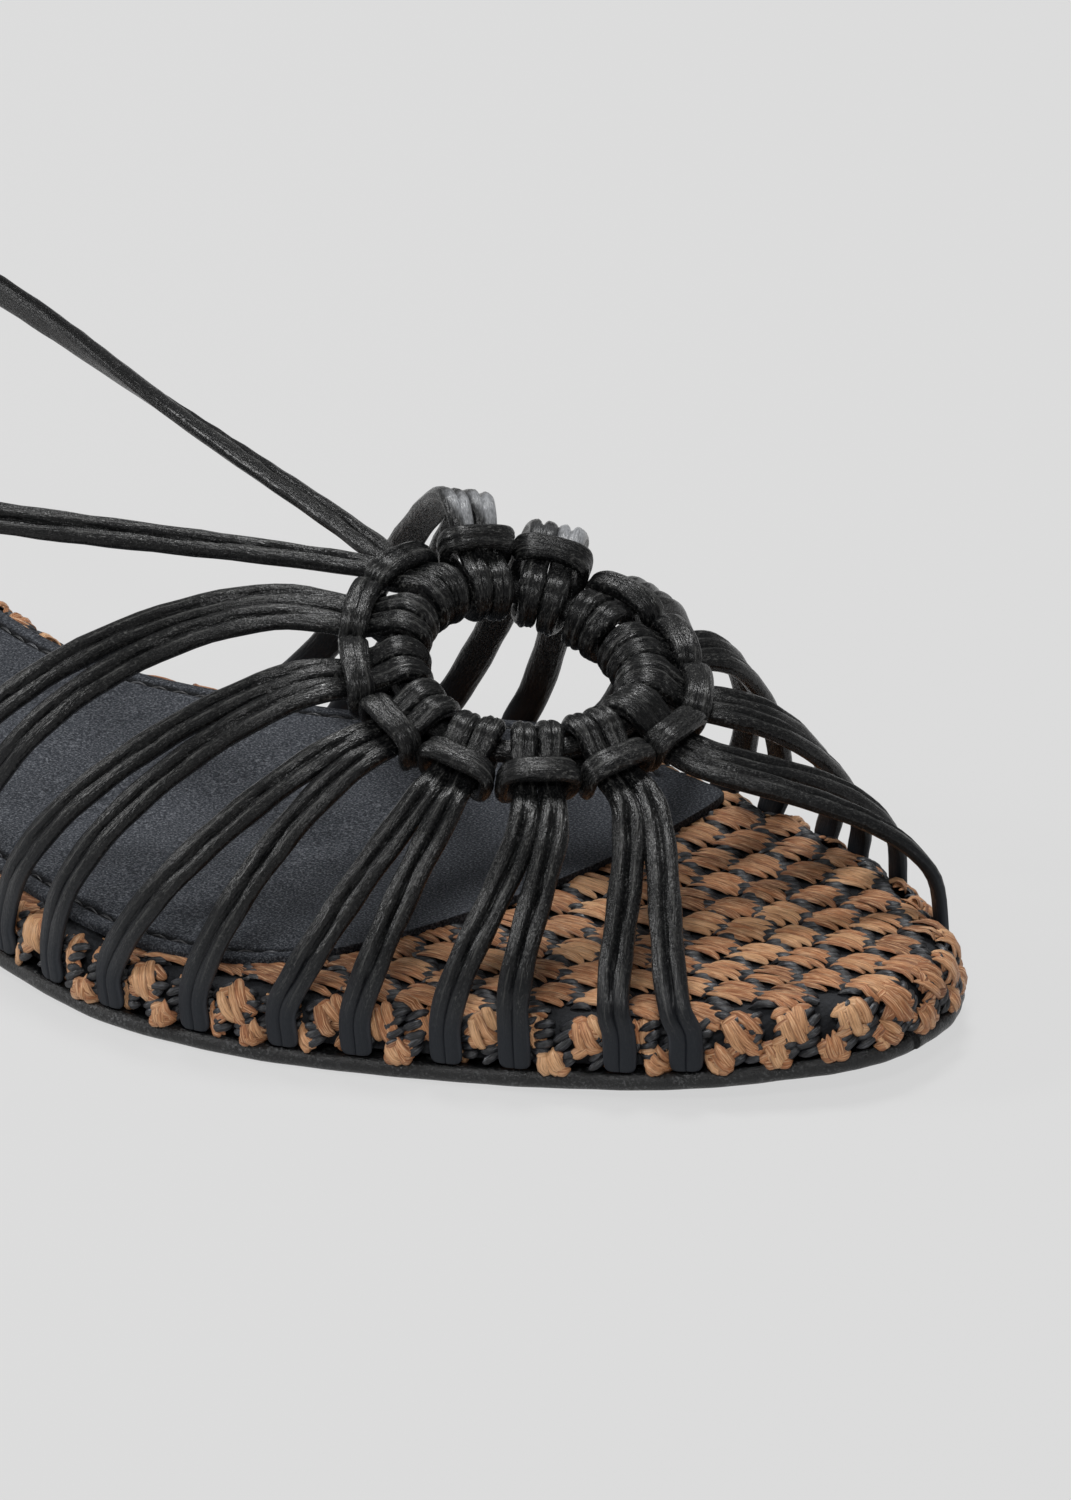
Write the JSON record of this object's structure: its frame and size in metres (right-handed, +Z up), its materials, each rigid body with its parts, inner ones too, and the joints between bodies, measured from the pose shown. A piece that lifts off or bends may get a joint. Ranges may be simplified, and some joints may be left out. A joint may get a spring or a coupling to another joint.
{
  "type": "flat sandal",
  "caption": "Flat slingback sandal with leather laces knotted round a ring over the instep, on a woven footbed with a leather sock.",
  "frame": {"origin": "on the floor plane, on the flat underside of the heel lift, on the sole's centre line 28 mm in front of the back of the heel", "axes": "+X to the toe, +Y to the inner (medial) side of the right foot, +Z up"},
  "size_m": [0.2446, 0.0906, 0.066],
  "materials": {
    "heel_rubber": "matte",
    "outsole_rubber": "satin, with a polished edge",
    "woven_fibre": "dry plant fibre, woven over black cord",
    "sock_leather": "fine pebbled grain, semi-matte",
    "ring_leather": "satin",
    "lace_leather": "rolled and creased, satin with bright thin highlights"
  },
  "bodies": {
    "root": {"heel_lift": "heel_rubber", "outsole": "outsole_rubber", "footbed": "woven_fibre", "insole_sock": "sock_leather", "ring_core": "ring_leather", "lace_outer_1": "lace_leather", "lace_outer_2": "lace_leather", "lace_outer_3": "lace_leather", "lace_outer_4": "lace_leather", "lace_outer_5": "lace_leather", "lace_outer_6": "lace_leather", "lace_inner_1": "lace_leather", "lace_inner_2": "lace_leather", "lace_inner_3": "lace_leather", "lace_inner_4": "lace_leather", "lace_inner_5": "lace_leather", "lace_inner_6": "lace_leather", "sling_lace": "lace_leather"}
  },
  "joints": []
}
